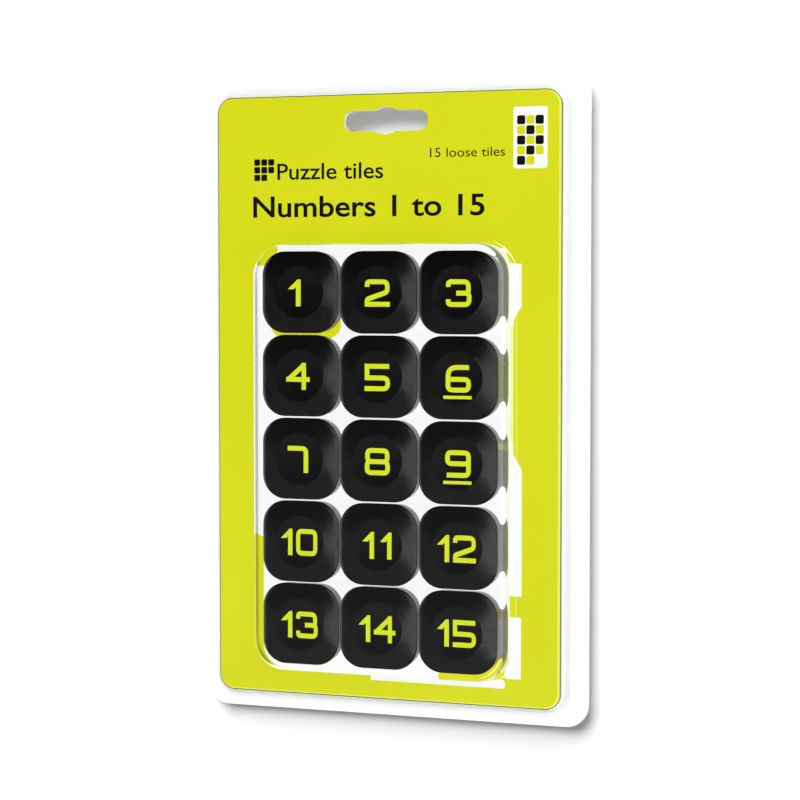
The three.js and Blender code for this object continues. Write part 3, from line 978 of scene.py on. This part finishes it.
def figure_shapes(figure):
    """The polygons of one figure, in millimetres about its middle, and its width."""
    h, t = half_high, top_edge
    if figure == "0":
        return ring_strokes(-2.5, 2.5, -h, h, 1.1), 6.25
    if figure == "1":
        flag = [(1.65, t), (0.85, t), (-1.65, t - 2.35), (-0.15, t - 2.35), (0.4, t - 1.85)]
        stem = [(1.65, t), (0.4, t - 1.85), (0.4, -t), (1.65, -t)]
        return [[Vector(p) for p in flag], [Vector(p) for p in stem]], 3.3
    if figure == "2":
        points = [(-2.55, 1.45), (-2.55, h), (2.55, h), (2.55, 0.25), (-2.55, -1.5), (-2.55, -h), (3.2, -h)]
        return open_strokes(points, [0, 0.7, 1.1, 0.8, 0.3, 0, 0]), 6.4
    if figure == "3":
        upper = [(-2.55, 1.45), (-2.55, h), (2.4, h), (2.4, 0), (-0.6, 0)]
        lower = [(-0.6, 0), (2.6, 0), (2.6, -h), (-2.55, -h), (-2.55, -1.45)]
        strokes = open_strokes(upper, [0, 0.7, 1.1, 0.7, 0]) + open_strokes(lower, [0, 0.9, 1.1, 0.7, 0])
        return strokes, 6.4
    if figure == "4":
        slope = open_strokes([(1.55, h + 0.1), (-2.45, -0.75)], 0)
        cross = open_strokes([(-3.05, -0.75), (3.05, -0.75)], 0)
        stem = open_strokes([(1.5, t), (1.5, -t)], 0)
        return slope + cross + stem, 6.1
    if figure == "5":
        points = [(3.05, h), (-2.6, h), (-2.6, -0.1), (2.65, -0.1), (2.65, -h), (-3.2, -h)]
        return open_strokes(points, [0, 0, 0, 1.2, 1.2, 0]), 6.5
    if figure == "6":
        points = [(2.7, h), (-2.5, h), (-2.5, -h), (2.6, -h), (2.6, -0.15), (-2.5, -0.15)]
        return open_strokes(points, [0, 2.2, 1.1, 1.1, 1.1, 0]), 6.4
    if figure == "7":
        return open_strokes([(-2.65, h), (2.05, h), (2.05, -t)], [0, 1.0, 0]), 5.3
    if figure == "8":
        return ring_strokes(-2.5, 2.5, 0, h, 1.0) + ring_strokes(-2.6, 2.6, -h, 0, 1.0), 6.4
    bowl = ring_strokes(-2.6, 2.6, 0.05, h, 1.0)
    tail = open_strokes([(2.6, 1.2), (2.6, -h), (-2.75, -h)], [0, 1.1, 0])
    return bowl + tail, 6.4


def place_figure(polygons, across, narrow=1.0):
    return [[Vector((p[0] * narrow + across, p[1] - 0.15)) for p in polygon] for polygon in polygons]


FIGURE_SHIFTS = {1: -1.25, 3: 0.3, 4: -0.35, 6: 0.2, 7: -0.4, 9: 0.2}


def number_polygons(number):
    figures = [figure_shapes(f) for f in str(number)]
    if len(figures) == 1:
        shapes = place_figure(figures[0][0], FIGURE_SHIFTS.get(number, 0))
        if number in (6, 9):
            low = -top_edge - 1.3
            shapes = shapes + stroke_outline(stroke_path([(-3.4, low), (3.6, low)]), width=0.75)
        return shapes
    first_width, last_width = figures[0][1] * 0.9, figures[1][1] * 0.9
    space = 1.5 if number == 11 else 0.9
    total = first_width + last_width + space
    first = place_figure(figures[0][0], -total / 2 + first_width / 2 - 0.1, 0.9)
    return first + place_figure(figures[1][0], total / 2 - last_width / 2 - 0.1, 0.9)


def number_mesh(number):
    """One number as a thin film that follows the dish."""
    points, polygons = [], []
    for polygon in number_polygons(number):
        area = sum(a[0] * b[1] - b[0] * a[1] for a, b in zip(polygon, polygon[1:] + polygon[:1]))
        ordered = polygon if area > 0 else polygon[::-1]
        polygons.append(list(range(len(points), len(points) + len(ordered))))
        points += ordered
    step = 0.55
    for across in range(-11, 12):
        for up in range(-9, 8):
            points.append(Vector((across * step + 0.013, up * step + 0.017)))
    found, _, faces, _, _, sources = delaunay_2d_cdt(points, [], polygons, 1, 1e-4)
    film = bmesh.new()
    corners = []
    for point in found:
        reach = point.length * MM
        corners.append(film.verts.new((
            point.x * MM, -dish_depth(min(reach, DISH_RADIUS)) - FIGURE_INK_RISE, point.y * MM,
        )))
    for face, source in zip(faces, sources):
        if source:
            film.faces.new([corners[i] for i in face])
    bmesh.ops.delete(film, geom=[v for v in film.verts if not v.link_faces], context="VERTS")
    bmesh.ops.recalc_face_normals(film, faces=film.faces[:])
    if sum(f.normal.y * f.calc_area() for f in film.faces) > 0:
        bmesh.ops.reverse_faces(film, faces=film.faces[:])
    return film


NUMBER_INK = ink_finish("Yellow-green number ink", (0.51, 0.585, 0.012, 1), (0.48, 0.55, 0.009, 1), 0.45)
for number in range(1, 16):
    master_number = new_piece("master_number", number_mesh(number))
    thicken(master_number, 0.06 * MM)
    master_number.data.shade_smooth()
    master_number.data.set_sharp_from_angle(angle=math.radians(40))
    set_in_cell(master_number, f"tile_{number:02d}_number", number, NUMBER_INK)
    bpy.data.objects.remove(master_number)


# ---- Clear front shell ----
# One clear sheet, half a millimetre thick, vacuum formed in two steps: the shallow pocket that covers
# the card, and the deeper bubble that holds the tiles. Its flange is welded to the back shell's.

BUBBLE_CLEARANCE = 1 * MM
BUBBLE_SIDE_CLEARANCE = 1.6 * MM
BUBBLE_CORNER = 7 * MM
CONTACT_GAP = 0.3 * MM
BUBBLE_DRAFT = 0.5 / 5.9


def clear_sheet_finish():
    finish, add, shader, out = new_finish(
        "Clear sheet plastic", Transmission_Weight=1.0, IOR=1.2, Base_Color=(0.985, 0.99, 0.985, 1),
        Coat_Weight=1.0, Coat_IOR=1.5, Coat_Roughness=0.03,
    )
    marks = place_effect(add, FORMING_MARKS, Wave_size=55.0, Grain_size=900.0, Grain_share=0.02)
    rubs = place_effect(add, HANDLING_MARKS, Size=420.0, Amount=0.6)
    add.tree.links.new(add.range(rubs.outputs[0], 0.015, 0.05), shader.inputs["Roughness"])
    bump(add, shader, marks.outputs["Height"], 0.15, 0.0002)
    path = add.add("ShaderNodeLightPath")
    through = add.add("ShaderNodeBsdfTransparent", Color=(0.975, 0.98, 0.975, 1))
    surface = shader.outputs[0]
    for rays in ("Is Shadow Ray", "Is Diffuse Ray", "Is Glossy Ray"):
        mix = add.add("ShaderNodeMixShader")
        add.tree.links.new(path.outputs[rays], mix.inputs[0])
        add.tree.links.new(surface, mix.inputs[1])
        add.tree.links.new(through.outputs[0], mix.inputs[2])
        surface = mix.outputs[0]
    add.tree.links.new(surface, out.inputs["Surface"])
    return finish


bubble_depth = -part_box("front_shell")[0].y
pocket_depth = card_depth + CONTACT_GAP + SHEET_THICKNESS
first_low, first_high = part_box("tile_01_cap")
last_low, last_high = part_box("tile_15_cap")
bubble_inside = (
    first_low.x - BUBBLE_SIDE_CLEARANCE,
    last_high.x + BUBBLE_SIDE_CLEARANCE,
    last_low.z - BUBBLE_CLEARANCE,
    first_high.z + BUBBLE_CLEARANCE,
    BUBBLE_CORNER,
)
bubble_foot = inset(bubble_inside, -SHEET_THICKNESS - BUBBLE_DRAFT * (bubble_depth - pocket_depth))

front_sheet = bmesh.new()
rim = add_loop(front_sheet, rounded_outline(pack_outline), front_flange_depth)
pocket_wall = wall_profile(front_flange_depth, pocket_depth, POCKET_DRAFT, 0.5 * MM, 0.9 * MM)
pocket_edge = add_wall(front_sheet, pocket_foot, pocket_wall, rim)
bubble_wall = wall_profile(pocket_depth, bubble_depth, BUBBLE_DRAFT, 1.1 * MM, 1.2 * MM)
bubble_start = add_loop(
    front_sheet, rounded_outline(inset(bubble_foot, bubble_wall[0][0])), bubble_wall[0][1],
)
slot = add_loop(front_sheet, peg_slot_outline(), pocket_depth)
bubble_edge = add_wall(front_sheet, bubble_foot, bubble_wall[1:], bubble_start)
fill_flat(front_sheet, pocket_edge, slot, bubble_start)
fill_flat(front_sheet, bubble_edge)
front_shell = new_piece("formed_front_shell", front_sheet, clear_sheet_finish())
thicken(front_shell, SHEET_THICKNESS)
smooth_rounds(front_shell)
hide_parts("front_shell")
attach(front_shell, "front")


# ---- Studio: wall, floor, lights and camera ----
# The pack hangs just in front of a pale wall above a pale floor. The wall shows only from the front, so
# that the back of the pack can be looked at.

WALL_GAP = 3.0 * MM
FLOOR_HEIGHT = -0.3


def studio_finish(name, shade, see_through_back):
    finish, add, shader, out = new_finish(name, Roughness=0.9, Specular_IOR_Level=0.0)
    place = add.add("ShaderNodeTexCoord").outputs["Object"]
    mottle = add.add("ShaderNodeTexNoise", Vector=place, Scale=3.0, Detail=2.0)
    darker = tuple(v * 0.985 for v in shade[:3]) + (1,)
    add.tree.links.new(add.mix_colour(mottle.outputs[0], darker, shade), shader.inputs["Base Color"])
    if see_through_back:
        back = add.add("ShaderNodeNewGeometry").outputs["Backfacing"]
        clear = add.add("ShaderNodeBsdfTransparent")
        mix = add.add("ShaderNodeMixShader")
        add.tree.links.new(back, mix.inputs[0])
        add.tree.links.new(shader.outputs[0], mix.inputs[1])
        add.tree.links.new(clear.outputs[0], mix.inputs[2])
        add.tree.links.new(mix.outputs[0], out.inputs["Surface"])
    return finish


def studio_plane(name, corners, finish):
    plane = bmesh.new()
    plane.faces.new([plane.verts.new(corner) for corner in corners])
    piece = new_piece(name, plane, finish)
    return piece


def light_group(name, members):
    """A collection that tells a lamp what it lights, or what shades it."""
    group = bpy.data.collections.new(name)
    bpy.context.scene.collection.children.link(group)
    for member in members:
        group.objects.link(member)
    return group


no_caps = light_group("All but the caps", [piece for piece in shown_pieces() if "moulded_cap" not in piece.name])
shells = light_group("Shells", [back_shell, front_shell])
side_lit = light_group(
    "Tiles and shells", [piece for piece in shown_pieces() if piece.name.startswith(("tile_", "formed_"))],
)

wall = studio_plane(
    "studio_wall",
    [(-2, WALL_GAP, FLOOR_HEIGHT), (2, WALL_GAP, FLOOR_HEIGHT), (2, WALL_GAP, 2), (-2, WALL_GAP, 2)],
    studio_finish("Pale wall", (1.0, 1.0, 1.0, 1), True),
)
floor = studio_plane(
    "studio_floor",
    [(-3, -3, FLOOR_HEIGHT), (3, -3, FLOOR_HEIGHT), (3, 3, FLOOR_HEIGHT), (-3, 3, FLOOR_HEIGHT)],
    studio_finish("Pale floor", (0.92, 0.92, 0.92, 1), False),
)
wall.visible_shadow = False
floor.visible_glossy = False
floor.visible_diffuse = False

studio = light_group("Studio surfaces", [wall, floor])
middle = Vector((0, 0, (pack_low.z + pack_high.z) / 2))


def soft_light(name, offset, width, height, power, lights_up=None, shaded_by=None):
    """A softbox at an offset from the pack's middle, aimed at it."""
    lamp = bpy.data.lights.new(name, "AREA")
    lamp.shape = "RECTANGLE"
    lamp.size = width
    lamp.size_y = height
    lamp.energy = power
    light = bpy.data.objects.new(name, lamp)
    bpy.context.scene.collection.objects.link(light)
    light.location = middle + Vector(offset)
    light.visible_camera = False
    light.rotation_euler = (-Vector(offset)).to_track_quat("-Z", "Y").to_euler()
    if lights_up is not None:
        light.light_linking.receiver_collection = lights_up
    if shaded_by is not None:
        light.light_linking.blocker_collection = shaded_by
    return light


soft_light("Wall light", (-0.25, -1.2, 1.0), 1.36, 1.36, 42.0, studio)
wall_fill = soft_light("Wall fill", (0, -1.2, 0.1), 1.5, 1.5, 0.9, studio)
wall_fill.data.use_shadow = False
soft_light("Front light", (0.5, -2.1, 1.3), 1.4, 1.4, 52.0, no_caps, shells)
soft_light("Low light", (0.2, -1.9, -1.3), 1.2, 1.2, 28.0, no_caps, shells)
soft_light("Right light", (0.46, -0.77, 0.05), 0.96, 0.9, 4.2, side_lit)
soft_light("Left light", (-0.85, -0.15, 0.05), 0.9, 0.9, 4.2, side_lit)
soft_light("Rear light", (-0.9, 1.2, 0.5), 1.2, 1.2, 7.0)

world = bpy.data.worlds.new("Studio air")
world.use_nodes = True
air = Nodes(world.node_tree)
facing = air.add("ShaderNodeSeparateXYZ", Vector=air.add("ShaderNodeTexCoord").outputs["Generated"])
glow = air.add("ShaderNodeMapRange", {"interpolation_type": "SMOOTHSTEP"}, Value=facing.outputs["Z"])
for socket, value in (("From Min", -0.3), ("From Max", 0.1), ("To Min", 0.25), ("To Max", 0.012)):
    glow.inputs[socket].default_value = value
backdrop = world.node_tree.nodes["Background"]
world.node_tree.links.new(glow.outputs[0], backdrop.inputs["Strength"])
backdrop.inputs["Color"].default_value = (1, 1, 1, 1)
bpy.context.scene.world = world
bpy.context.scene.view_settings.view_transform = "Standard"

camera_data = bpy.data.cameras.new("Camera")
camera_data.sensor_width = 36
camera_data.lens = 101.6
camera = bpy.data.objects.new("Camera", camera_data)
camera.location = (0.18907, -0.51079, -0.03837)
camera.rotation_euler = (math.radians(87.01), 0, math.radians(20.14))
bpy.context.scene.collection.objects.link(camera)
bpy.context.scene.camera = camera
